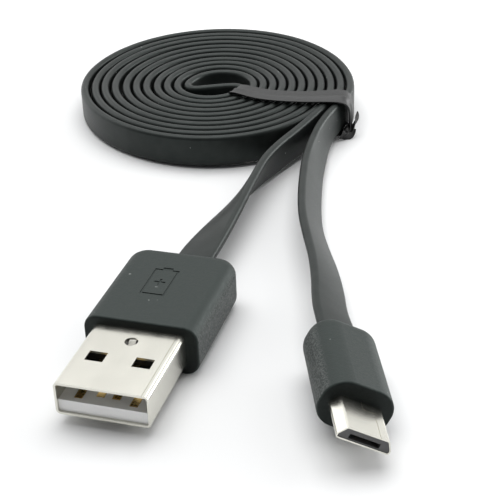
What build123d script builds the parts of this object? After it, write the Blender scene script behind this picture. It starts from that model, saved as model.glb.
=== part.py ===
from build123d import *
import os
from math import atan2, copysign, cos, degrees, radians, sin, tan

# Charging cable: a flat lead, wound in a spiral and held by a twist tie, with a
# USB-A plug on one end and a micro-B plug on the other.  Lengths in mm, angles in degrees.
# World frame: the origin is the centre of the USB-A overmold's underside, the table is
# z = 0, +Y runs from that plug back along its lead and +X is to the plug's right.

RUN = 0.05                      # running clearance beside a moving spring
FIT = 0.02                      # clearance around a piece that another is moulded over

# Flat lead
LEAD_W = 5.3
LEAD_T = 1.4
LEAD_SECTIONS = 44              # cross-sections along each lead
CORE_D = 0.9                    # insulated core
CORE_PITCH = 1.1                # the cores side by side in the lead
BEND_SHARE = 0.45               # share of the shorter run that a bend may use

# USB-A plug
SHELL_W = 12.0
SHELL_H = 4.5
SHELL_L = 18.8
SHELL_T = 0.3
SHELL_R = 0.6
SHELL_OUT = 12.9                # length in front of the overmold
WINDOW_IN = 1.85                # inner edge of a retention window, from the centre
WINDOW_W = 2.33
WINDOW_Y = 5.2                  # front edge of a window, from the shell's front
WINDOW_L = 1.95
LANCE_HOLE_D = 1.7
LANCE_HOLE_Y = 10.1
LANCE_W = 0.9
LANCE_DROP = 0.7
SEAM_X = 5.1                    # folded seam along the top
SEAM_W = 0.08
SEAM_D = 0.12
TONGUE_H = 1.6
TONGUE_FRONT = 0.35             # set back from the shell's mouth
BLOCK_Y = 8.9                   # front of the insulator's rear block
CONTACT_X = (-3.5, -1.0, 1.0, 3.5)
CONTACT_Y = (1.1, 1.9, 1.9, 1.1)  # front of each contact, from the shell's front
CONTACT_W = 1.0
CONTACT_T = 0.25
CONTACT_PROUD = 0.06
TAIL_L = 1.8                    # contact tail behind the shell
GRIP_W = 15.2
GRIP_H = 7.0
GRIP_L = 18.4
GRIP_CORNER = 2.8               # rear corners in plan
GRIP_EDGE = 2.0                 # long and rear rims
AXIS_Z = 3.7                    # the shell sits a little above the overmold's middle
GRIP_FRONT_EDGE = 0.3
CABLE_IN = 3.0                  # length of lead held in an overmold
MARK_L = 6.2
MARK_W = 3.4
MARK_LINE = 0.3
MARK_DEPTH = 0.1
MARK_X = -0.7
MARK_Y = 0.3
CAP_L = 1.4                     # the battery's raised end
CAP_H = 0.45
PLUS_L = 1.5

# Micro-B plug, in its own frame: front of the shell at y = 0, the wide side down
MICRO_W = 6.85
MICRO_TOP_W = 5.3
MICRO_H = 1.8
MICRO_SIDE = 0.6                # upright part of the side
MICRO_T = 0.18
MICRO_OUT = 5.9
MICRO_L = 9.9
MICRO_R = 0.35
MICRO_FRONT = 0.08              # the insulator is almost flush with the shell's mouth
MICRO_SEAM_W = 0.08
MICRO_SEAM_L = 1.5
SLOT_W = 3.9
SLOT_LOW = -0.55
SLOT_HIGH = 0.10
SLOT_L = 5.5
SPRING_X = (-1.3, -0.65, 0.0, 0.65, 1.3)
SPRING_W = 0.3
SPRING_T = 0.15
SPRING_Y = 1.0
SPRING_Z = -0.12                # underside of a contact spring
SPRING_PIVOT = 7.0
SPRING_LIFT = 2.4               # full travel of the contact springs
LATCH_X = 2.45
LATCH_W = 0.5
LATCH_T = 0.2
LATCH_Z = -0.60                 # underside of a latch arm
LATCH_Y = 1.2
LATCH_PIVOT = 7.5
LATCH_LIFT = 3.9                # travel until the hook is inside the shell
HOOK_Y = 1.9
HOOK_L = 0.8
HOOK_RAMP = 0.48                # length of its sloping nose
HOOK_OUT = 0.25                 # how far a hook stands out of the shell
HOOK_GAP = 0.3                  # play in front of and behind a hook
ANCHOR_L = 1.9
MICRO_GRIP_W = 9.1
MICRO_GRIP_H = 6.6
MICRO_GRIP_L = 14.3
MICRO_GRIP_FLAT = 0.7           # upright part of its sides
MICRO_DROP = 0.35               # its middle is that far below the shell's
MICRO_GRIP_END = 2.0
MICRO_MOLD_W = 6.6
MICRO_MOLD_H = 3.0
MICRO_TAIL_L = 1.6
MICRO_X = 31.14                 # where the micro-B shell's front is
MICRO_Y = -21.58
MICRO_HEADING = 21.3
MICRO_NECK = 2.5                # straight lead behind the overmold
MICRO_ROLL = 28.4

# Spiral: two strands side by side, both winding inwards counterclockwise
SPIRAL_X = -14.6
SPIRAL_Y = 67.7
EYE_R = 4.4                     # inside of the innermost layer
LAYERS = 11
LAYER_GAP = 0.44                # mean room between layers
PITCH_SWING = 0.16              # the layers are looser on the left
PITCH_SWING_AT = 135
PITCH_OVAL = 0.12               # and along one diagonal
PITCH_OVAL_AT = 135
OUTLINE_STEP = 15
OUTLINE_END = 330               # the leads leave the outline here
EYE_HOLE = (5.6, 5.1)

# Twist tie
TIE_W = 4.2
TIE_T = 0.3
TIE_RIB_W = 0.9
TIE_RIB_T = 0.7
TIE_WIRE_D = 0.4
TIE_Y = 63.0
TIE_LEFT = -9.5                 # the leg inside the eye
TIE_GAP = 0.1
TIE_CORNER = 0.05               # inner corners, square on the coil
PRONG_T = 0.8
PRONG_W = 1.7
PRONGS = ((4.4, 1.9), (-3.2, -1.0))  # reach along y and rise of each twisted end

SHELL_FRONT = -GRIP_L / 2 - SHELL_OUT
SHELL_BACK = SHELL_FRONT + SHELL_L
CABLE_START = GRIP_L / 2 - CABLE_IN
MOLD_L = CABLE_START - SHELL_BACK  # the inner mold reaches from the shell to the lead
MICRO_BACK = MICRO_OUT + MICRO_GRIP_L
MICRO_CABLE_START = MICRO_BACK - CABLE_IN
MICRO_GRIP_R = (MICRO_GRIP_H - MICRO_GRIP_FLAT) / 2
ROLL = radians(MICRO_ROLL)
MICRO_Z = (MICRO_GRIP_R + (MICRO_GRIP_W / 2 - MICRO_GRIP_R) * sin(ROLL)
           + (MICRO_GRIP_H / 2 - MICRO_GRIP_R + MICRO_DROP) * cos(ROLL))
MICRO_PLACE = (Location((MICRO_X, MICRO_Y, MICRO_Z), (0, 0, MICRO_HEADING))
               * Location((0, 0, 0), (0, MICRO_ROLL, 0)))


def micro_point(y):
    spot = (MICRO_PLACE * Location((0, y, 0))).position
    return spot.X, spot.Y, spot.Z


# Route of each lead: x, y, z and tilt, where 0 is flat and 90 stands on edge
USB_A_ROUTE = [
    (0, CABLE_START, AXIS_Z, 0),
    (0, 11.8, AXIS_Z, 0),
    (0.12, 17.3, 3.58, 10),
    (0.34, 23.7, 3.40, 28),
    (0.51, 30.0, 3.20, 46),
    (0.72, 36.1, 3.04, 62),
    (1.18, 42.1, 2.98, 78),
    (2.37, 47.3, 3.08, 87),
    (4.02, 52.2, 3.32, 90),
    (5.46, 57.1, 3.66, 90),
    (6.32, 60.8, 3.95, 90),
]
MICRO_ROUTE = [
    (*micro_point(MICRO_CABLE_START), MICRO_ROLL),
    (*micro_point(MICRO_BACK + MICRO_NECK), MICRO_ROLL),
    (21.15, 3.6, 4.22, 34),
    (19.50, 9.6, 3.88, 40),
    (17.46, 15.5, 3.52, 46),
    (15.04, 21.2, 3.22, 51),
    (12.73, 27.1, 3.06, 55),
    (11.13, 33.0, 2.98, 57),
    (9.83, 38.9, 2.95, 58),
    (8.73, 44.6, 3.00, 60),
    (8.15, 50.1, 3.20, 66),
    (7.85, 55.4, 3.55, 77),
    (8.33, 60.7, 3.95, 86),
]


def block(width, length, height, x=0, y=0, z=0):
    """A box centred on x, with its front at y and its underside at z."""
    return Pos(x, y, z) * Box(width, length, height, align=(Align.CENTER, Align.MIN, Align.MIN))


def tube_section(width, height, radius, length, y, z):
    """A rounded bar along +Y that starts at y and is centred on z."""
    section = Plane((0, y, z), x_dir=(1, 0, 0), z_dir=(0, 1, 0)) * RectangleRounded(
        width, height, radius)
    return extrude(section, length, dir=(0, 1, 0))


def smooth_wire(points, diameter):
    """A round wire along straight runs joined by arcs."""
    path = rounded_path(points)
    return sweep(Plane(path @ 0, z_dir=path % 0) * Circle(diameter / 2), path)


def corner_radii(points):
    radii = []
    for before, corner, after in zip(points, points[1:], points[2:]):
        run_in = Vector(corner) - Vector(before)
        run_out = Vector(after) - Vector(corner)
        half_turn = radians(run_in.get_angle(run_out)) / 2
        radii.append(BEND_SHARE * min(run_in.length, run_out.length) / tan(half_turn))
    return radii


def rounded_path(points):
    return FilletPolyline(*points, radius=corner_radii(points))


# ---------------------------------------------------------------- USB-A plug

def usb_a_shell():
    inner = (SHELL_W - 2 * SHELL_T, SHELL_H - 2 * SHELL_T, SHELL_R - SHELL_T)
    shell = tube_section(SHELL_W, SHELL_H, SHELL_R, SHELL_L, SHELL_FRONT, AXIS_Z)
    shell -= tube_section(*inner, SHELL_L, SHELL_FRONT, AXIS_Z)
    for side in (-1, 1):
        centre = side * (WINDOW_IN + WINDOW_W / 2)
        shell -= block(WINDOW_W, WINDOW_L, SHELL_H, centre, SHELL_FRONT + WINDOW_Y,
                       AXIS_Z - SHELL_H / 2)
    top = AXIS_Z + SHELL_H / 2
    hole_y = SHELL_FRONT + LANCE_HOLE_Y
    shell -= Pos(0, hole_y, top) * Cylinder(LANCE_HOLE_D / 2, 2 * SHELL_T + RUN)
    lance_root = LANCE_HOLE_D / 2
    bend = Plane.YZ * Polyline(
        (hole_y + lance_root, top - SHELL_T / 2), (hole_y + lance_root, top - SHELL_T),
        (hole_y - lance_root / 3, top - LANCE_DROP - SHELL_T / 2),
        (hole_y - lance_root / 3, top - LANCE_DROP),
        (hole_y + lance_root / 2, top - SHELL_T / 2), close=True)
    shell += extrude(Pos(-LANCE_W / 2, 0, 0) * make_face(bend), LANCE_W, dir=(1, 0, 0))
    shell -= block(SEAM_W, SHELL_L, SEAM_D, SEAM_X, SHELL_FRONT, top - SEAM_D)
    return shell


def contact_height():
    return AXIS_Z - SHELL_H / 2 + SHELL_T + TONGUE_H + CONTACT_PROUD - CONTACT_T


def usb_a_insulator():
    floor = AXIS_Z - SHELL_H / 2 + SHELL_T
    inner_w = SHELL_W - 2 * SHELL_T
    inner_h = SHELL_H - 2 * SHELL_T
    front = SHELL_FRONT + TONGUE_FRONT
    radius = SHELL_R - SHELL_T
    whole = tube_section(inner_w, inner_h, radius, SHELL_L - TONGUE_FRONT, front, AXIS_Z)
    opening = block(inner_w, BLOCK_Y - TONGUE_FRONT, inner_h - TONGUE_H, 0, front,
                    floor + TONGUE_H)
    insulator = whole - opening
    for x, y in zip(CONTACT_X, CONTACT_Y):
        insulator -= block(CONTACT_W + 2 * FIT, SHELL_L - y + FIT, CONTACT_T + FIT, x,
                           SHELL_FRONT + y - FIT, contact_height() - FIT)
    pocket_y = SHELL_FRONT + LANCE_HOLE_Y - LANCE_HOLE_D / 2
    insulator -= block(LANCE_W + 2 * RUN, LANCE_HOLE_D + RUN, LANCE_DROP + RUN, 0,
                       pocket_y, AXIS_Z + SHELL_H / 2 - LANCE_DROP - RUN)
    return insulator


def usb_a_contact(index):
    y = CONTACT_Y[index]
    return block(CONTACT_W, SHELL_L - y + TAIL_L, CONTACT_T, CONTACT_X[index],
                 SHELL_FRONT + y, contact_height())


def usb_a_wire_points(index):
    """From the contact's tail, down to the level of the lead, to the end of the lead."""
    solder_z = contact_height() + CONTACT_T + CORE_D / 2
    end_x = (index - 1.5) * CORE_PITCH
    start_y = SHELL_BACK + FIT
    return [
        (CONTACT_X[index], start_y, solder_z),
        (CONTACT_X[index], start_y + TAIL_L, solder_z),
        (end_x, CABLE_START - TAIL_L, AXIS_Z),
        (end_x, CABLE_START, AXIS_Z),
    ]


def usb_a_wire(index, extra=0.0):
    return smooth_wire(usb_a_wire_points(index), CORE_D + 2 * extra)


def usb_a_inner_mold():
    mold = tube_section(SHELL_W, SHELL_H, SHELL_R, MOLD_L, SHELL_BACK, AXIS_Z)
    for index in range(len(CONTACT_X)):
        mold -= usb_a_wire(index, FIT)
        mold -= block(CORE_D + 2 * FIT, 2 * FIT, CORE_D, CONTACT_X[index], SHELL_BACK,
                      contact_height() + CONTACT_T)
        mold -= block(CONTACT_W + 2 * FIT, TAIL_L + FIT, CONTACT_T + 2 * FIT,
                      CONTACT_X[index], SHELL_BACK, contact_height() - FIT)
    return mold


def grip_mark():
    """A battery outline with a plus sign: the generic sign for charging."""
    body = Rectangle(MARK_W, MARK_L) - Rectangle(MARK_W - 2 * MARK_LINE, MARK_L - 2 * MARK_LINE)
    cap = Pos(0, (MARK_L + CAP_H) / 2) * Rectangle(CAP_L, CAP_H)
    plus = Rectangle(PLUS_L, MARK_LINE) + Rectangle(MARK_LINE, PLUS_L)
    return body + cap + plus


def usb_a_overmold():
    half = GRIP_L / 2
    grip = extrude(Rectangle(GRIP_W, GRIP_L), GRIP_H)
    grip = fillet(grip.edges().filter_by(Axis.Z).sort_by(Axis.Y)[2:], GRIP_CORNER)
    rims = [edge for edge in grip.edges()
            if abs(edge.center().Z - GRIP_H / 2) > GRIP_H / 2 - FIT
            and edge.center().Y > FIT - half]
    grip = fillet(rims, GRIP_EDGE)
    grip = fillet(grip.faces().sort_by(Axis.Y)[0].edges(), GRIP_FRONT_EDGE)
    grip -= tube_section(SHELL_W, SHELL_H, SHELL_R, SHELL_L - SHELL_OUT, -half, AXIS_Z)
    grip -= tube_section(SHELL_W, SHELL_H, SHELL_R, MOLD_L, SHELL_BACK, AXIS_Z)
    grip -= block(LEAD_W + 2 * FIT, CABLE_IN, LEAD_T + 2 * FIT, 0, CABLE_START,
                  AXIS_Z - LEAD_T / 2 - FIT)
    grip -= Pos(MARK_X, MARK_Y, GRIP_H - MARK_DEPTH) * extrude(grip_mark(), MARK_DEPTH)
    return grip


# ---------------------------------------------------------------- micro-B plug

def micro_section(inset):
    """The shell's outline, narrower at the top, drawn in by inset."""
    bottom = -MICRO_H / 2 + inset
    shoulder = -MICRO_H / 2 + MICRO_SIDE
    half = MICRO_W / 2 - inset
    slope = atan2(MICRO_H - MICRO_SIDE, (MICRO_W - MICRO_TOP_W) / 2)
    top_half = MICRO_TOP_W / 2 - inset * tan(slope / 2)
    outline = Polyline((-half, bottom), (half, bottom), (half, shoulder),
                       (top_half, MICRO_H / 2 - inset), (-top_half, MICRO_H / 2 - inset),
                       (-half, shoulder), close=True)
    face = make_face(outline)
    return fillet(face.vertices(), max(MICRO_R - inset, MICRO_R / 4))


def micro_bar(inset, length, y):
    plane = Plane((0, y, 0), x_dir=(1, 0, 0), z_dir=(0, -1, 0))
    return extrude(plane * micro_section(inset), length, dir=(0, 1, 0))


def micro_shell():
    shell = micro_bar(0, MICRO_L, 0) - micro_bar(MICRO_T, MICRO_L, 0)
    for side in (-1, 1):
        shell -= block(HOOK_L, HOOK_L + 2 * HOOK_GAP, 2 * MICRO_T, side * LATCH_X,
                       HOOK_Y - HOOK_GAP, -MICRO_H / 2 - MICRO_T / 2)
    seam_y = MICRO_OUT - MICRO_SEAM_L
    top = MICRO_H / 2 - MICRO_T / 2
    shell -= block(MICRO_SEAM_W, MICRO_L - seam_y, MICRO_T, 0, seam_y, top)
    shell -= block(MICRO_SEAM_L, MICRO_SEAM_W, MICRO_T, MICRO_SEAM_L / 2, seam_y, top)
    shell -= block(MICRO_SEAM_W, seam_y, MICRO_T, MICRO_SEAM_L, 0, top)
    return shell


def latch_sweep():
    """Room that one latch needs, from its tip to its anchor."""
    reach = LATCH_PIVOT - LATCH_Y
    rise = reach * tan(radians(LATCH_LIFT))
    return LATCH_T + rise + 2 * RUN


def micro_insulator():
    floor = -MICRO_H / 2 + MICRO_T
    body = micro_bar(MICRO_T, MICRO_L - MICRO_FRONT, MICRO_FRONT)
    body -= block(SLOT_W, SLOT_L - MICRO_FRONT, SLOT_HIGH - SLOT_LOW, 0, MICRO_FRONT,
                  SLOT_LOW)
    groove_h = SPRING_T + (SPRING_PIVOT - SPRING_Y) * tan(radians(SPRING_LIFT)) + 2 * RUN
    for x in SPRING_X:
        body -= block(SPRING_W + 2 * RUN, SPRING_PIVOT + RUN - SPRING_Y + 2 * RUN, groove_h,
                      x, SPRING_Y - 2 * RUN, SPRING_Z - RUN)
        body -= block(SPRING_W + 2 * FIT, MICRO_L - SPRING_PIVOT, SPRING_T + 2 * FIT, x,
                      SPRING_PIVOT, SPRING_Z - FIT)
    for side in (-1, 1):
        body -= block(LATCH_W + 4 * RUN, LATCH_PIVOT + RUN - LATCH_Y + 2 * RUN,
                      latch_sweep(), side * LATCH_X, LATCH_Y - 2 * RUN, LATCH_Z - RUN)
        body -= block(HOOK_L, HOOK_L + 2 * HOOK_GAP, LATCH_Z - floor + RUN,
                      side * LATCH_X, HOOK_Y - HOOK_GAP, floor)
        body -= block(LATCH_W + 2 * FIT, ANCHOR_L + RUN + FIT, LATCH_T + 2 * FIT,
                      side * LATCH_X, LATCH_PIVOT, LATCH_Z - FIT)
    return body


def micro_contact_springs():
    return [block(SPRING_W, SPRING_PIVOT - SPRING_Y, SPRING_T, x, SPRING_Y, SPRING_Z)
            for x in SPRING_X]


def micro_contact_tails():
    start = SPRING_PIVOT + RUN
    length = MICRO_L + MICRO_TAIL_L - start
    return [block(SPRING_W, length, SPRING_T, x, start, SPRING_Z) for x in SPRING_X]


def micro_latch(side):
    """A spring arm whose hook stands out through the shell's wide side."""
    arm = block(LATCH_W, LATCH_PIVOT - LATCH_Y, LATCH_T, side * LATCH_X, LATCH_Y, LATCH_Z)
    nose_low = -MICRO_H / 2 - HOOK_OUT
    profile = Plane.YZ * Polyline(
        (HOOK_Y, LATCH_Z + LATCH_T / 2), (HOOK_Y + HOOK_RAMP, nose_low),
        (HOOK_Y + HOOK_L, nose_low), (HOOK_Y + HOOK_L, LATCH_Z + LATCH_T / 2), close=True)
    hook = extrude(Pos(side * LATCH_X - LATCH_W / 2, 0, 0) * make_face(profile), LATCH_W,
                   dir=(1, 0, 0))
    return arm + hook


def micro_latch_anchors():
    return [block(LATCH_W, ANCHOR_L, LATCH_T, side * LATCH_X, LATCH_PIVOT + RUN, LATCH_Z)
            for side in (-1, 1)]


MICRO_WIRED = (0, 1, 2, 4)      # the fourth contact carries no wire


def micro_wire(index, extra=0.0):
    """Soldered above or below its contact's tail, in turn."""
    above = index % 2 == 0
    tail_z = SPRING_Z + SPRING_T + CORE_D / 2 if above else SPRING_Z - CORE_D / 2
    end_x = (index - 1.5) * CORE_PITCH
    contact_x = SPRING_X[MICRO_WIRED[index]]
    points = [
        (contact_x, MICRO_L + FIT, tail_z),
        (contact_x, MICRO_L + MICRO_TAIL_L / 2, tail_z),
        (end_x, MICRO_CABLE_START - MICRO_TAIL_L / 2, 0),
        (end_x, MICRO_CABLE_START, 0),
    ]
    return smooth_wire(points, CORE_D + 2 * extra)


def micro_inner_mold():
    length = MICRO_CABLE_START - MICRO_L
    mold = tube_section(MICRO_MOLD_W, MICRO_MOLD_H, MICRO_R, length, MICRO_L, 0)
    for x in SPRING_X:
        mold -= block(SPRING_W + 2 * FIT, MICRO_TAIL_L + FIT, SPRING_T + 2 * FIT, x,
                      MICRO_L, SPRING_Z - FIT)
    for index in range(len(MICRO_WIRED)):
        mold -= micro_wire(index, FIT)
    return mold


def micro_overmold():
    grip = tube_section(MICRO_GRIP_W, MICRO_GRIP_H, MICRO_GRIP_R, MICRO_GRIP_L, MICRO_OUT,
                        -MICRO_DROP)
    grip = fillet(grip.faces().sort_by(Axis.Y)[-1].edges(), MICRO_GRIP_END)
    grip = fillet(grip.faces().sort_by(Axis.Y)[0].edges(), GRIP_FRONT_EDGE)
    grip -= micro_bar(0, MICRO_L - MICRO_OUT, MICRO_OUT)
    grip -= tube_section(MICRO_MOLD_W, MICRO_MOLD_H, MICRO_R, MICRO_CABLE_START - MICRO_L,
                         MICRO_L, 0)
    grip -= block(LEAD_W + 2 * FIT, CABLE_IN, LEAD_T + 2 * FIT, 0, MICRO_CABLE_START,
                  -LEAD_T / 2 - FIT)
    return grip


# ---------------------------------------------------------------- lead and coil

def tilt_at(route, y):
    for low, high in zip(route, route[1:]):
        if y <= high[1]:
            share = max((y - low[1]) / (high[1] - low[1]), 0)
            return low[3] + share * (high[3] - low[3])
    return route[-1][3]


def flat_lead(name, route, lean):
    """A flat ribbon along the route; lean is the side that its upper edge is on."""
    points = [spot[:3] for spot in route]
    path = rounded_path(points)
    sections = []
    for step in range(LEAD_SECTIONS + 1):
        share = step / LEAD_SECTIONS
        spot = path @ share
        along = path % share
        right = along.cross(Vector(0, 0, 1)).normalized()
        up = right.cross(along)
        tilt = radians(tilt_at(route, spot.Y))
        across = right * (lean * cos(tilt)) + up * sin(tilt)
        sections.append(Plane(spot, x_dir=across, z_dir=along) * Rectangle(LEAD_W, LEAD_T))
    lead = loft(sections, ruled=True)
    print(name, "radii", [round(radius) for radius in corner_radii(points)])
    print(name, "length", round(path.length, 1), "volume / section * length",
          round(lead.volume / (LEAD_W * LEAD_T * path.length), 4))
    return lead


def layer_pitch(angle):
    return (LEAD_T + LAYER_GAP + PITCH_SWING * cos(radians(angle - PITCH_SWING_AT))
            + PITCH_OVAL * cos(radians(2 * (angle - PITCH_OVAL_AT))))


def outer_radius(angle):
    """Outside of the outermost layer at an angle from +X, which falls by a layer per half turn."""
    return EYE_R + LEAD_T + (LAYERS - angle / 180) * layer_pitch(angle)


def outline_points():
    points = []
    for angle in range(0, OUTLINE_END + 1, OUTLINE_STEP):
        turn = radians(angle)
        reach = outer_radius(angle)
        points.append((SPIRAL_X + reach * cos(turn), SPIRAL_Y + reach * sin(turn)))
    return points


COIL_LEFT = min(x for x, y in outline_points())
COIL_RIGHT = max(x for x, y in outline_points())
COIL_TILT = degrees(atan2(TIE_RIB_T, TIE_LEFT - TIE_RIB_T - COIL_LEFT))
COIL_PLACE = (Location((COIL_LEFT, 0, 0)) * Location((0, 0, 0), (0, -COIL_TILT, 0))
              * Location((-COIL_LEFT, 0, 0)))


def cable_coil():
    """The outer shape of the spiral, lying flat before it leans on the tie."""
    face = make_face(Spline(*outline_points(), periodic=True))
    coil = extrude(face, LEAD_W)
    coil -= Pos(SPIRAL_X, SPIRAL_Y, LEAD_W / 2) * extrude(Ellipse(*EYE_HOLE), LEAD_W, both=True)
    coil -= block(TIE_RIB_T + 2 * TIE_GAP, TIE_W + 2 * TIE_GAP, LEAD_W,
                  TIE_LEFT - TIE_RIB_T / 2, TIE_Y - TIE_W / 2 - TIE_GAP)
    return coil


def tie_loop(width, near, far):
    """A band around the coil's section, from near to far outside its faces."""
    def loop(grow):
        left = TIE_LEFT - grow
        right = COIL_RIGHT + TIE_GAP + grow
        return Plane(((left + right) / 2, TIE_Y, LEAD_W / 2), x_dir=(1, 0, 0),
                     z_dir=(0, -1, 0)) * RectangleRounded(
            right - left, LEAD_W + 2 * grow, TIE_CORNER + grow)
    ring = loop(far) - loop(near) if near is not None else loop(far)
    return extrude(ring, width / 2, both=True)


def tie_wire(extra=0.0):
    """The wire runs round the loop in the middle of the rib."""
    middle = TIE_RIB_T / 2
    radius = TIE_WIRE_D / 2 + extra
    left = TIE_LEFT - middle
    right = COIL_RIGHT + TIE_GAP + middle
    plane = Plane(((left + right) / 2, TIE_Y, LEAD_W / 2), x_dir=(1, 0, 0), z_dir=(0, -1, 0))
    path = (plane * RectangleRounded(right - left, LEAD_W + 2 * middle,
                                     TIE_CORNER + middle)).wire()
    return sweep(Plane(path @ 0, z_dir=path % 0) * Circle(radius), path)


def twist_tie_strap():
    strap = tie_loop(TIE_W, 0, TIE_T) + tie_loop(TIE_RIB_W, 0, TIE_RIB_T)
    return strap - tie_wire(FIT)


def twist_tie_ends():
    """The two twisted ends, which stand off the outside of the coil."""
    face_x = COIL_RIGHT + TIE_GAP + TIE_RIB_T
    prongs = []
    for reach, rise in PRONGS:
        root = (face_x + PRONG_T / 2, TIE_Y + copysign(TIE_RIB_W / 2, reach), LEAD_W / 2)
        tip = (face_x + PRONG_T, TIE_Y + reach, LEAD_W / 2 + rise)
        along = Vector(tip) - Vector(root)
        sections = [Plane(root, x_dir=(1, 0, 0), z_dir=along) * Rectangle(PRONG_T, PRONG_W),
                    Plane(tip, x_dir=(1, 0, 0), z_dir=along) * Rectangle(PRONG_T / 2, PRONG_W / 2)]
        prongs.append(loft(sections, ruled=True))
    return prongs


# ---------------------------------------------------------------- writing

def save(name, shape, place=None):
    solids = shape if isinstance(shape, list) else [shape]
    if place is not None:
        solids = [place * solid for solid in solids]
    whole = solids[0] if len(solids) == 1 else Compound(children=solids)
    export_step(whole, f"parts/{name}.step")


WIRE_NAMES = ("red", "white", "green", "black")


def main():
    os.makedirs("parts", exist_ok=True)
    save("usb_a_shell", usb_a_shell())
    save("usb_a_insulator", usb_a_insulator())
    save("usb_a_inner_mold", usb_a_inner_mold())
    save("usb_a_overmold", usb_a_overmold())
    for index, colour in enumerate(WIRE_NAMES):
        save(f"usb_a_contact_{index + 1}", usb_a_contact(index))
        save(f"usb_a_wire_{colour}", usb_a_wire(index))
        save(f"micro_wire_{colour}", micro_wire(index), MICRO_PLACE)
    save("micro_shell", micro_shell(), MICRO_PLACE)
    save("micro_insulator", micro_insulator(), MICRO_PLACE)
    save("micro_contact_springs", micro_contact_springs(), MICRO_PLACE)
    save("micro_contact_tails", micro_contact_tails(), MICRO_PLACE)
    save("micro_latch_left", micro_latch(-1), MICRO_PLACE)
    save("micro_latch_right", micro_latch(1), MICRO_PLACE)
    save("micro_latch_anchors", micro_latch_anchors(), MICRO_PLACE)
    save("micro_inner_mold", micro_inner_mold(), MICRO_PLACE)
    save("micro_overmold", micro_overmold(), MICRO_PLACE)
    coil = COIL_PLACE * cable_coil()
    save("cable_coil", coil)
    for name, route, lean in (("cable_lead_usb_a", USB_A_ROUTE, 1),
                              ("cable_lead_micro", MICRO_ROUTE, -1)):
        outside = flat_lead(name, route, lean) - coil
        save(name, outside.solids().sort_by(SortBy.VOLUME)[-1])
    save("twist_tie_strap", twist_tie_strap(), COIL_PLACE)
    save("twist_tie_wire", tie_wire(), COIL_PLACE)
    save("twist_tie_ends", twist_tie_ends(), COIL_PLACE)


main()
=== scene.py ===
import math

import bpy
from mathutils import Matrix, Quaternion, Vector


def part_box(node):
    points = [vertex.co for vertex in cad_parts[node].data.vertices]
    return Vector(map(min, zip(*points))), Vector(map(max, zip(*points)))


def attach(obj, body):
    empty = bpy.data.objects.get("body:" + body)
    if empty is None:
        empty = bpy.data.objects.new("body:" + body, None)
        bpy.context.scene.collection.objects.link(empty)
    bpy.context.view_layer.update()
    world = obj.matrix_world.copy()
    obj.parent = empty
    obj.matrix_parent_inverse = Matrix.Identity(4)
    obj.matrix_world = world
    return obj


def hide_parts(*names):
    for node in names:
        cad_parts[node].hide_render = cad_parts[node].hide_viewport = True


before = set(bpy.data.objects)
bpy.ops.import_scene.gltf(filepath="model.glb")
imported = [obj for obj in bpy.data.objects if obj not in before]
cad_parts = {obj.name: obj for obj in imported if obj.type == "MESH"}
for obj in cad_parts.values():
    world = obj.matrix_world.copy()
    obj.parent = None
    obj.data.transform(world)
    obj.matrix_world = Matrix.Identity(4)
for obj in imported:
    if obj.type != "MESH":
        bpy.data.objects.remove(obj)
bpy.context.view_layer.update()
mm = 0.001
bpy.context.scene.view_settings.view_transform = "Standard"
print("stage: frame loaded,", len(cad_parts), "nodes")

cameraSet = {
    "place": (0.05204, -0.12813, 0.09229),
    "aim": (0.00484, 0.02229, 0.0),
    "roll": -2.06,
    "lens": 90,
    "sensor": 36,
    "clip": 0.005,
}

# where each lamp stands and what it points at, in metres, and its power in watts
lampSet = {
    "overhead": {"place": (-0.05, 0.12, 0.42), "aim": (0, 0.03, 0),
                 "size": (0.50, 0.40), "power": 1.8},
    "backRight": {"place": (0.42, 0.28, 0.24), "aim": (0, 0.03, 0),
                  "size": (0.30, 0.35), "power": 0.7},
    "rightLow": {"place": (0.42, 0.38, 0.10), "aim": (0.01, 0.04, 0),
                 "size": (0.38, 0.20), "power": 1.6},
    "left": {"place": (-0.42, 0.16, 0.20), "aim": (0, 0.04, 0),
             "size": (0.42, 0.36), "power": 0.36},
}

# the room fades from a pale back to a dim near side
roomSet = {
    "back": (1.0, 1.0, 1.0),
    "near": (0.16, 0.16, 0.165),
    "way": (-0.25, 0.95, 0.2),
    "fadeFrom": -0.5,
    "fadeTo": 0.7,
    "light": 1.0,
    "seen": (1.0, 1.0, 1.0),
}

floorSet = {"side": 3.0, "colour": (0.775, 0.78, 0.782), "rough": 0.9, "gloss": 0.1}


def nothingPicked():
    bpy.ops.object.select_all(action="DESELECT")


def makeCamera():
    bpy.ops.object.camera_add(location=cameraSet["place"])
    camera = bpy.context.object
    look = Vector(cameraSet["aim"]) - Vector(cameraSet["place"])
    turn = look.to_track_quat("-Z", "Y")
    camera.rotation_mode = "QUATERNION"
    camera.rotation_quaternion = turn @ Quaternion((0, 0, 1), math.radians(cameraSet["roll"]))
    camera.data.lens = cameraSet["lens"]
    camera.data.sensor_width = cameraSet["sensor"]
    camera.data.clip_start = cameraSet["clip"]
    bpy.context.scene.camera = camera


def makeLamp(name, part):
    bpy.ops.object.light_add(type="AREA", location=part["place"])
    lamp = bpy.context.object
    lamp.name = name
    look = Vector(part["aim"]) - Vector(part["place"])
    lamp.rotation_euler = look.to_track_quat("-Z", "Y").to_euler()
    lamp.data.shape = "RECTANGLE"
    lamp.data.size, lamp.data.size_y = part["size"]
    lamp.data.energy = part["power"]


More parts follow.
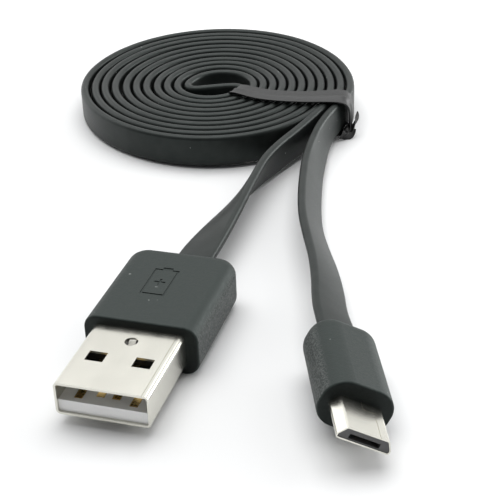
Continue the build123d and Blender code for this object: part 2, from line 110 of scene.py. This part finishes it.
class Sock:
    # a node's output with operators: an expression on it adds Math nodes
    def __init__(self, tree, out=None):
        self.tree = tree
        self.out = out

    def node(self, kind, settings=None, sockets=None, pick=0):
        made = self.tree.nodes.new(kind)
        for key, value in (settings or {}).items():
            setattr(made, key, value)
        for key, value in (sockets or {}).items():
            if isinstance(value, Sock):
                self.tree.links.new(value.out, made.inputs[key])
            else:
                made.inputs[key].default_value = value
        return Sock(self.tree, made.outputs[pick]) if len(made.outputs) else made

    def maths(self, how, first, second):
        return self.node("ShaderNodeMath", {"operation": how}, {0: first, 1: second})

    def __add__(self, other):
        return self.maths("ADD", self, other)

    def __radd__(self, other):
        return self.maths("ADD", other, self)

    def __mul__(self, other):
        return self.maths("MULTIPLY", self, other)

    def __rmul__(self, other):
        return self.maths("MULTIPLY", other, self)

    def step(self, low, high):
        return self.node("ShaderNodeMapRange", {"interpolation_type": "SMOOTHSTEP"},
                         {"Value": self, "From Min": low, "From Max": high})

    def along(self, way):
        return self.node("ShaderNodeVectorMath", {"operation": "DOT_PRODUCT"},
                         {0: self, 1: way}, pick="Value")

    def noise(self, scale, detail):
        return self.node("ShaderNodeTexNoise", None,
                         {"Vector": self, "Scale": scale, "Detail": detail})

    def stretched(self, scale):
        return self.node("ShaderNodeMapping", None, {"Vector": self, "Scale": scale})

    def blend(self, share, first, second):
        return self.node("ShaderNodeMix", {"data_type": "RGBA"},
                         {"Factor": share, 6: first, 7: second}, pick=2)

    def bump(self, height, strength, depth):
        return self.node("ShaderNodeBump", None,
                         {"Height": height, "Strength": strength, "Distance": depth})


def newMaterial(name, principled):
    material = bpy.data.materials.new(name)
    material.use_nodes = True
    tree = material.node_tree
    tree.nodes.clear()
    start = Sock(tree)
    place = start.node("ShaderNodeTexCoord", None, None, pick="Object")
    sockets = principled(start, place)
    surface = start.node("ShaderNodeBsdfPrincipled", None, sockets)
    start.node("ShaderNodeOutputMaterial", None, {"Surface": surface})
    return material


def rgba(colour):
    return (*colour, 1.0)


def makeRoom():
    world = bpy.data.worlds.new("room")
    bpy.context.scene.world = world
    world.use_nodes = True
    tree = world.node_tree
    tree.nodes.clear()
    start = Sock(tree)
    seen = start.node("ShaderNodeLightPath", None, None, pick="Is Camera Ray")
    way = start.node("ShaderNodeTexCoord", None, None, pick="Generated")
    depth = way.along(roomSet["way"]).step(roomSet["fadeFrom"], roomSet["fadeTo"])
    shade = start.blend(depth, rgba(roomSet["near"]), rgba(roomSet["back"]))
    dim = start.node("ShaderNodeBackground", None,
                     {"Color": shade, "Strength": roomSet["light"]})
    bright = start.node("ShaderNodeBackground", None,
                        {"Color": rgba(roomSet["seen"]), "Strength": 1.0})
    both = start.node("ShaderNodeMixShader", None, {0: seen, 1: dim, 2: bright})
    start.node("ShaderNodeOutputWorld", None, {"Surface": both})


def makeFloor():
    bpy.ops.mesh.primitive_plane_add(size=floorSet["side"], location=(0, 0, 0))
    floor = bpy.context.object
    floor.name = "floor"
    paint = newMaterial("floorPaper", lambda start, place: {
        "Base Color": rgba(floorSet["colour"]),
        "Roughness": floorSet["rough"],
        "Specular IOR Level": floorSet["gloss"]})
    floor.data.materials.append(paint)


makeCamera()
for lampName, lampPart in lampSet.items():
    makeLamp(lampName, lampPart)
makeRoom()
makeFloor()
print("stage: camera, lamps and floor")

# the cable is a flat ribbon along one line
ribbonSet = {
    "width": 5.3 * mm,
    "thick": 1.4 * mm,
    "corner": 0.64 * mm,
    "cornerSteps": 4,
    "smooth": 6,
    "merge": 0.001 * mm,
    "repeat": 0.01 * mm,
    "sharp": 40,
}

# x, y, z in metres and tilt in degrees: 0 lies flat, 90 stands on edge
usbLead = [
    (0, 0.0062, 0.00370, 0),
    (0, 0.0118, 0.00370, 0),
    (0.00012, 0.0173, 0.00358, 10),
    (0.00034, 0.0237, 0.00340, 28),
    (0.00051, 0.0300, 0.00320, 46),
    (0.00072, 0.0361, 0.00304, 62),
    (0.00118, 0.0421, 0.00298, 78),
    (0.00237, 0.0473, 0.00308, 87),
    (0.00402, 0.0522, 0.00332, 90),
    (0.00546, 0.0571, 0.00366, 90),
    (0.00632, 0.0608, 0.00395, 90),
]
microLead = [
    (0.024892, -0.005555, 0.004327, 28.4),
    (0.022894, -0.000431, 0.004327, 28.4),
    (0.02115, 0.0036, 0.00422, 34),
    (0.01950, 0.0096, 0.00388, 40),
    (0.01746, 0.0155, 0.00352, 46),
    (0.01504, 0.0212, 0.00322, 51),
    (0.01273, 0.0271, 0.00306, 55),
    (0.01113, 0.0330, 0.00298, 57),
    (0.00983, 0.0389, 0.00295, 58),
    (0.00873, 0.0446, 0.00300, 60),
    (0.00815, 0.0501, 0.00320, 66),
    (0.00785, 0.0554, 0.00355, 77),
    (0.00833, 0.0607, 0.00395, 86),
]

spiralSet = {
    "centre": (-0.0146, 0.0677),
    "eye": 0.0044,
    "layers": 11,
    "pitch": 0.00184,
    "swing": 0.00016,
    "swingAt": 135,
    "oval": 0.00012,
    "ovalAt": 135,
    "step": 15,
    "foldFrom": 3,
}
# the fold through the eye, from its right loop to its left loop, about the centre
eyeFold = [(0.00495, -0.00275), (0.00535, -0.00145), (0.0049, -0.00025), (0.0037, 0.00025),
           (0.0022, -0.00005), (0, -0.0009), (-0.0022, -0.0019), (-0.0036, -0.0023),
           (-0.0048, -0.0015), (-0.00525, 0)]

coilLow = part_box("cable_coil")[0]
layingSet = {
    "rise": 0.0235,
    "tieY": 0.063,
    "settle": 0.55,
    "settleOver": 0.018,
    "backFrom": 0.074,
    "backOver": 0.020,
    "backRise": 0.45 * mm,
    "waver": 0.14 * mm,
    "waverStep": 0.37,
}


def share(value):
    return min(max(value, 0.0), 1.0)


def coilLift(x, y):
    # the coil leans on the tie under it, its front settles and its back stands off
    part = layingSet
    settled = part["settle"] * share((part["tieY"] - y) / part["settleOver"])
    back = part["backRise"] * share((y - part["backFrom"]) / part["backOver"])
    return part["rise"] * (x - coilLow[0]) * (1 - settled) + back


def onEdge(x, y):
    return (x, y, ribbonSet["width"] / 2 + coilLift(x, y), 90)


def layerPitch(angle):
    part = spiralSet
    swing = part["swing"] * math.cos(math.radians(angle - part["swingAt"]))
    oval = part["oval"] * math.cos(math.radians(2 * (angle - part["ovalAt"])))
    return part["pitch"] + swing + oval


def strand(layer):
    # winds inwards from the given layer, one layer for each half turn
    part = spiralSet
    centreX, centreY = part["centre"]
    spots = []
    for angle in range(0, layer * 180 + 1, part["step"]):
        reach = part["eye"] + ribbonSet["thick"] / 2 + (layer - angle / 180) * layerPitch(angle)
        reach /= math.cos(math.radians(part["step"] / 2))
        loose = max(math.cos(math.radians(angle - part["swingAt"])), 0)
        wave = math.sin(layer + math.radians(layingSet["waverStep"] * angle))
        reach += layingSet["waver"] * loose * wave
        turn = math.radians(angle)
        spots.append(onEdge(centreX + reach * math.cos(turn), centreY + reach * math.sin(turn)))
    return spots


def cableLine():
    centreX, centreY = spiralSet["centre"]
    inner = strand(spiralSet["layers"] - 1)[:-spiralSet["foldFrom"]]
    outer = strand(spiralSet["layers"])[:-1]
    fold = [onEdge(centreX + x, centreY + y) for x, y in eyeFold]
    return usbLead + inner + fold + outer[::-1] + microLead[::-1]


def nurbsLine(name, spots, smooth, closed=False):
    line = bpy.data.curves.new(name, "CURVE")
    line.dimensions = "3D"
    line.resolution_u = smooth
    spline = line.splines.new("NURBS")
    spline.points.add(len(spots) - 1)
    for point, (x, y, z, tilt, *scale) in zip(spline.points, spots):
        point.co = (x, y, z, 1.0)
        point.tilt = math.radians(-tilt)
        point.radius = scale[0] if scale else 1.0
    spline.order_u = 3
    spline.use_cyclic_u = closed
    spline.use_endpoint_u = not closed
    thing = bpy.data.objects.new(name, line)
    bpy.context.collection.objects.link(thing)
    return thing


def readLine(thing):
    # the points that the line passes, without repeats
    mesh = bpy.data.meshes.new_from_object(thing)
    spots = []
    for vertex in mesh.vertices:
        if not spots or (vertex.co - spots[-1]).length > ribbonSet["repeat"]:
            spots.append(vertex.co.copy())
    bpy.data.meshes.remove(mesh)
    return spots


def roundedOutline(width, thick, corner, steps):
    spots = []
    for side, (signX, signY) in enumerate([(1, 1), (-1, 1), (-1, -1), (1, -1)]):
        for step in range(steps + 1):
            turn = math.radians(90 * (side + step / steps))
            spots.append((signX * (width / 2 - corner) + corner * math.cos(turn),
                          signY * (thick / 2 - corner) + corner * math.sin(turn)))
    return spots


def profileCurve(name, spots):
    outline = bpy.data.curves.new(name, "CURVE")
    outline.dimensions = "2D"
    outline.fill_mode = "NONE"
    spline = outline.splines.new("POLY")
    spline.points.add(len(spots) - 1)
    for point, (x, y) in zip(spline.points, spots):
        point.co = (x, y, 0, 1.0)
    spline.use_cyclic_u = True
    thing = bpy.data.objects.new(name, outline)
    bpy.context.collection.objects.link(thing)
    return thing


def ribbonMesh(thing, outline, twist, caps=True):
    # gives the line its section and makes it a mesh
    thing.data.twist_mode = twist
    thing.data.bevel_mode = "OBJECT"
    thing.data.bevel_object = outline
    thing.data.use_fill_caps = caps
    nothingPicked()
    thing.select_set(True)
    bpy.context.view_layer.objects.active = thing
    bpy.ops.object.convert(target="MESH")
    bpy.data.objects.remove(outline)
    made = bpy.context.object
    bpy.ops.object.mode_set(mode="EDIT")
    bpy.ops.mesh.select_all(action="SELECT")
    bpy.ops.mesh.remove_doubles(threshold=ribbonSet["merge"])
    bpy.ops.mesh.normals_make_consistent(inside=False)
    bpy.ops.object.mode_set(mode="OBJECT")
    bpy.ops.object.shade_smooth_by_angle(angle=math.radians(ribbonSet["sharp"]))
    return made


def makeCable():
    part = ribbonSet
    thing = nurbsLine("cable", cableLine(), part["smooth"])
    path = readLine(thing)
    section = roundedOutline(part["width"], part["thick"], part["corner"], part["cornerSteps"])
    made = ribbonMesh(thing, profileCurve("cableSection", section), "Z_UP")
    return made, path


cable, cablePath = makeCable()
cableLength = sum((b - a).length for a, b in zip(cablePath, cablePath[1:]))
print("stage: cable,", round(cableLength, 4), "m,", len(cable.data.polygons), "faces")
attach(cable, "root")
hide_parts("cable_coil", "cable_lead_usb_a", "cable_lead_micro")

# the twist tie is a film with a wire in its middle, a knot and two ends
tieSet = {
    "half": 2.1 * mm,
    "film": 0.10 * mm,
    "bead": 0.36 * mm,
    "beadHalf": 0.5 * mm,
    "shoulder": 0.8,
    "droop": 0.10,
    "wire": 0.2 * mm,
    "wireSides": 8,
    "smooth": 8,
    "knot": (10.45, 63.0, 1.5),
    "knotTurns": 9,
    "knotAcross": (0.40, 0.70, 1.5),
    "knotStep": 75,
    "knotTwist": 40,
    "knotWidth": 0.42,
}

# x, y and z in millimetres, tilt, and the film's width there
tieLoop = [
    (-10.90, 65.7, 0.9, 50, 0.48),
    (-10.90, 65.6, 3.2, 50, 0.48),
    (-10.70, 65.2, 5.9, 54, 0.62),
    (-9.40, 64.3, 6.6, 60, 0.80),
    (-4.50, 62.5, 6.5, 60, 0.88),
    (2.20, 62.5, 6.7, 60, 0.92),
    (6.40, 63.3, 6.85, 60, 1.00),
    (9.20, 64.1, 6.85, 58, 1.12),
    (10.20, 64.5, 5.9, 52, 1.15),
    (10.50, 64.7, 4.2, 48, 1.00),
    (10.60, 64.5, 2.4, 48, 0.90),
    (10.40, 64.2, 1.1, 55, 0.85),
    (9.40, 64.0, 0.70, 66, 0.85),
    (2.00, 63.6, 0.55, 66, 0.85),
    (-7.00, 63.9, 0.42, 66, 0.80),
    (-10.40, 65.3, 0.44, 58, 0.55),
]
tieTails = [
    [(10.5, 63.2, 1.3, 0, 0.50), (11.0, 63.7, 1.8, 30, 0.62), (11.4, 64.4, 2.4, 55, 0.46),
     (11.6, 64.9, 3.4, 80, 0.26), (11.6, 65.0, 4.1, 90, 0.03)],
    [(10.7, 63.2, 1.6, 0, 0.50), (10.7, 62.3, 1.1, 40, 0.60), (10.1, 61.6, 0.8, 75, 0.44),
     (9.5, 61.2, 0.5, 100, 0.20), (9.2, 61.0, 0.4, 110, 0.03)],
]


def inMetres(spots):
    return [(x * mm, y * mm, z * mm, *rest) for x, y, z, *rest in spots]


def filmOutline():
    part = tieSet
    shoulder = part["bead"] * part["shoulder"]
    upper = [(-part["half"], part["film"]), (-part["beadHalf"], part["film"]),
             (-part["beadHalf"] / 2, shoulder), (0, part["bead"]),
             (part["beadHalf"] / 2, shoulder), (part["beadHalf"], part["film"]),
             (part["half"], part["film"])]
    lower = [(-x, -y) for x, y in upper]
    return [(x, y - part["droop"] * abs(x)) for x, y in upper + lower]


def wireOutline():
    part = tieSet
    turns = [2 * math.pi * side / part["wireSides"] for side in range(part["wireSides"])]
    return [(part["wire"] * math.cos(turn), part["wire"] * math.sin(turn)) for turn in turns]


def knotLine():
    part = tieSet
    centreX, centreY, centreZ = part["knot"]
    acrossX, acrossY, acrossZ = part["knotAcross"]
    spots = []
    for turn in range(part["knotTurns"]):
        way = math.radians(part["knotStep"] * turn)
        spots.append((centreX + acrossX * math.cos(way),
                      centreY + acrossY * math.sin(way),
                      centreZ + acrossZ * (turn / part["knotTurns"] - 0.5),
                      part["knotTwist"] * turn, part["knotWidth"]))
    return spots


def makeTie():
    smooth = tieSet["smooth"]
    loop = inMetres(tieLoop)
    film = nurbsLine("tieFilm", loop, smooth, closed=True)
    film = ribbonMesh(film, profileCurve("filmSection", filmOutline()), "MINIMUM", caps=False)
    wire = nurbsLine("tieWire", [(x, y, z, 0) for x, y, z, *rest in loop], smooth, closed=True)
    wire = ribbonMesh(wire, profileCurve("wireSection", wireOutline()), "MINIMUM", caps=False)
    ends = []
    for number, spots in enumerate([*tieTails, knotLine()]):
        end = nurbsLine("tieEnd" + str(number), inMetres(spots), smooth)
        ends.append(ribbonMesh(end, profileCurve("endSection", filmOutline()), "MINIMUM"))
    nothingPicked()
    for end in ends:
        end.select_set(True)
    bpy.context.view_layer.objects.active = ends[0]
    bpy.ops.object.join()
    return film, wire, ends[0]


tieFilm, tieWire, tieEnds = makeTie()
for piece, nodeName, slotName in ((tieFilm, "twist_tie_strap", "tie_plastic"),
                                  (tieWire, "twist_tie_wire", "tie_wire"),
                                  (tieEnds, "twist_tie_ends", "tie_plastic")):
    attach(piece, "root")
    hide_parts(nodeName)
print("stage: twist tie")

# the overmolds' rubber: a fine grain, fronts painted near black as painted shade, and coarser,
# paler flanks made by painted highlight specks
gripSet = {
    "colour": (0.0155, 0.0190, 0.0178),
    "darker": 0.82,
    "lighter": 1.25,
    "mottle": (0.35, 0.75),
    "grain": 5200,
    "speck": 2080,
    "colourGrain": 0.6,
    "bumpGrain": 0.7,
    "rough": 0.50,
    "roughSwing": 0.16,
    "bump": 0.6,
    "bumpDepth": 0.05 * mm,
    # painted shade: the near-black colour given to the front faces, which stand in shadow
    "front": (0.004, 0.004, 0.004),
    "frontEdge": (0.80, 0.97),
    "sheen": 0.33,
    "tint": (0.84, 1.0, 0.95),
    # painted highlight: pale specks on the flanks, standing in for light sparkling on the grain
    "paintedSparkle": (0.088, 0.092, 0.090),
    "paintedSparkleScale": 4700,
    "paintedSparkleEdge": (0.36, 0.66),
    "flankEdge": (0.82, 0.99),
}
jacketSet = {
    "colour": (0.0095, 0.0112, 0.0106),
    "pale": (0.0145, 0.0166, 0.0158),
    "cloud": 420,
    "cloudEdge": (0.3, 0.7),
    "fine": 4200,
    "rough": 0.36,
    "roughSwing": 0.10,
    "bump": 0.12,
    "bumpDepth": 0.02 * mm,
    "sheen": 0.28,
    "tint": (0.88, 1.0, 0.96),
}
dustSet = {"colour": (0.22, 0.23, 0.22), "scale": 1350, "edge": (0.795, 0.815)}
nickelSet = {
    "colour": (0.72, 0.71, 0.645),
    "worn": (0.64, 0.63, 0.57),
    "cloud": 260,
    "drawn": 900,
    "rough": 0.17,
    "roughSwing": 0.13,
    "bump": 0.06,
    "bumpDepth": 0.01 * mm,
}


def shaded(colour, share):
    return rgba([share * level for level in colour])


def dusted(start, place, clean):
    specks = place.noise(dustSet["scale"], 1.0).step(*dustSet["edge"])
    return start.blend(specks, clean, rgba(dustSet["colour"]))


def mixed(first, second, firstShare):
    return first * firstShare + second * (1 - firstShare)


def gripRubber(name, frontWay, sideWay):
    def principled(start, place):
        part = gripSet
        facing = start.node("ShaderNodeTexCoord", None, None, pick="Normal")
        # painted shade: faces that point to the front are blended to near black
        front = facing.along(frontWay).step(*part["frontEdge"])
        grain = place.noise(part["grain"], 3.0)
        speck = place.noise(part["speck"], 1.0)
        mottle = mixed(grain, speck, part["colourGrain"]).step(*part["mottle"])
        body = start.blend(mottle, shaded(part["colour"], part["darker"]),
                           shaded(part["colour"], part["lighter"]))
        # painted highlight: faces that point to the sides get pale specks
        flank = start.maths("ABSOLUTE", facing.along(sideWay), 0.0).step(*part["flankEdge"])
        paintedSparkles = place.noise(part["paintedSparkleScale"], 2.0).step(*part["paintedSparkleEdge"])
        body = start.blend(flank * paintedSparkles, body, rgba(part["paintedSparkle"]))
        relief = mixed(grain, speck, part["bumpGrain"])
        return {
            "Base Color": start.blend(front, dusted(start, place, body), rgba(part["front"])),
            "Roughness": part["rough"] + part["roughSwing"] * mottle,
            "Specular IOR Level": part["sheen"],
            "Specular Tint": rgba(part["tint"]),
            "Normal": start.bump(relief, part["bump"], part["bumpDepth"]),
        }
    return newMaterial(name, principled)


def jacketTpe():
    def principled(start, place):
        part = jacketSet
        cloud = place.noise(part["cloud"], 3.0).step(*part["cloudEdge"])
        fine = place.noise(part["fine"], 2.0)
        shade = start.blend(cloud, rgba(part["colour"]), rgba(part["pale"]))
        return {
            "Base Color": dusted(start, place, shade),
            "Roughness": part["rough"] + part["roughSwing"] * fine,
            "Specular IOR Level": part["sheen"],
            "Specular Tint": rgba(part["tint"]),
            "Normal": start.bump(fine, part["bump"], part["bumpDepth"]),
        }
    return newMaterial("cableJacket", principled)


def nickel(name, grainWay):
    def principled(start, place):
        part = nickelSet
        drawn = place.stretched(grainWay).noise(part["drawn"], 3.0)
        cloud = place.noise(part["cloud"], 2.0)
        return {
            "Base Color": start.blend(cloud, rgba(part["worn"]), rgba(part["colour"])),
            "Metallic": 1.0,
            "Roughness": part["rough"] + part["roughSwing"] * drawn,
            "Normal": start.bump(drawn, part["bump"], part["bumpDepth"]),
        }
    return newMaterial(name, principled)


# plain plastics and metals share a faint cloud and a fine grain
plasticSet = {
    "darker": 0.88,
    "cloud": 500,
    "fine": 2600,
    "roughSwing": 0.10,
    "bump": 0.10,
    "bumpDepth": 0.02 * mm,
}
metalSet = {
    "darker": 0.80,
    "cloud": 700,
    "fine": 3000,
    "roughSwing": 0.12,
    "bump": 0.08,
    "bumpDepth": 0.01 * mm,
}


def plain(name, part, colour, roughness, metallic):
    def principled(start, place):
        fine = place.noise(part["fine"], 2.0)
        cloud = place.noise(part["cloud"], 2.0)
        return {
            "Base Color": start.blend(cloud, shaded(colour, part["darker"]), rgba(colour)),
            "Metallic": metallic,
            "Roughness": roughness + part["roughSwing"] * fine,
            "Normal": start.bump(fine, part["bump"], part["bumpDepth"]),
        }
    return newMaterial(name, principled)


def plainPlastic(name, colour, roughness):
    return plain(name, plasticSet, colour, roughness, 0.0)


def plainMetal(name, colour, roughness):
    return plain(name, metalSet, colour, roughness, 1.0)


# white at the mouth, with painted shade further in, by the distance from the shell's mouth
insulatorSet = {
    "colour": (0.93, 0.93, 0.915),
    # painted shade: the near-black colour deep inside the shell
    "shade": (0.035, 0.033, 0.03),
    "from": 2.4 * mm,
    "to": 4.6 * mm,
    "rough": 0.34,
}
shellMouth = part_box("usb_a_shell")[0][1]


def hollowPlastic():
    def principled(start, place):
        part = insulatorSet
        fine = place.noise(plasticSet["fine"], 2.0)
        depth = place.along((0, 1, 0))
        # painted shade: the insulator is blended to near black deeper inside the shell
        inside = depth.step(shellMouth + part["from"], shellMouth + part["to"])
        return {
            "Base Color": start.blend(inside, rgba(part["colour"]), rgba(part["shade"])),
            "Roughness": part["rough"] + plasticSet["roughSwing"] * fine,
            "Normal": start.bump(fine, plasticSet["bump"], plasticSet["bumpDepth"]),
        }
    return newMaterial("whiteInsulator", principled)


# the small plug's heading and roll, in degrees
microSet = {"heading": 21.3, "roll": 28.4}
microHeading = math.radians(microSet["heading"])
microRoll = math.radians(microSet["roll"])
microFront = (math.sin(microHeading), -math.cos(microHeading), 0)
microSide = (math.cos(microHeading) * math.cos(microRoll),
             math.sin(microHeading) * math.cos(microRoll), -math.sin(microRoll))

mouldLook = {"colour": (0.72, 0.71, 0.66), "roughness": 0.5}
jacket = jacketTpe()
gold = plainMetal("goldFlash", (0.86, 0.62, 0.25), 0.22)
steel = plainMetal("springSteel", (0.62, 0.61, 0.59), 0.25)
nodeLooks = {
    "usb_a_shell": nickel("nickelPlateLarge", (1.0, 0.12, 1.0)),
    "usb_a_insulator": hollowPlastic(),
    "usb_a_inner_mold": plainPlastic("naturalMould", **mouldLook),
    "usb_a_overmold": gripRubber("gripRubberLarge", (0, -1, 0), (1, 0, 0)),
    "micro_shell": nickel("nickelPlateSmall", (1.0, 0.2, 1.0)),
    "micro_insulator": plainPlastic("darkInsulator", (0.10, 0.10, 0.10), 0.45),
    "micro_contact_springs": gold,
    "micro_contact_tails": gold,
    "micro_latch_left": steel,
    "micro_latch_right": steel,
    "micro_latch_anchors": steel,
    "micro_inner_mold": plainPlastic("naturalMouldSmall", **mouldLook),
    "micro_overmold": gripRubber("gripRubberSmall", microFront, microSide),
    "cable_coil": jacket,
    "cable_lead_usb_a": jacket,
    "cable_lead_micro": jacket,
    "twist_tie_strap": plainPlastic("tieFilm", (0.0150, 0.0158, 0.0158), 0.42),
    "twist_tie_wire": plainMetal("tieWire", (0.5, 0.5, 0.5), 0.4),
    "twist_tie_ends": plainPlastic("tieFilmEnds", (0.0100, 0.0098, 0.0095), 0.46),
}
coreSet = {
    "red": (0.50, 0.02, 0.02),
    "white": (0.78, 0.78, 0.75),
    "green": (0.02, 0.26, 0.06),
    "black": (0.02, 0.02, 0.02),
}
coreRough = 0.38
for coreName, coreColour in coreSet.items():
    insulation = plainPlastic("core" + coreName.title(), coreColour, coreRough)
    nodeLooks["usb_a_wire_" + coreName] = insulation
    nodeLooks["micro_wire_" + coreName] = insulation
for number in range(1, 5):
    nodeLooks["usb_a_contact_" + str(number)] = gold
looks = [(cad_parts[nodeName], look) for nodeName, look in nodeLooks.items()]
looks += [(cable, jacket), (tieFilm, nodeLooks["twist_tie_strap"]),
          (tieWire, nodeLooks["twist_tie_wire"]), (tieEnds, nodeLooks["twist_tie_ends"])]
for piece, look in looks:
    piece.data.materials.clear()
    piece.data.materials.append(look)
print("stage: materials")
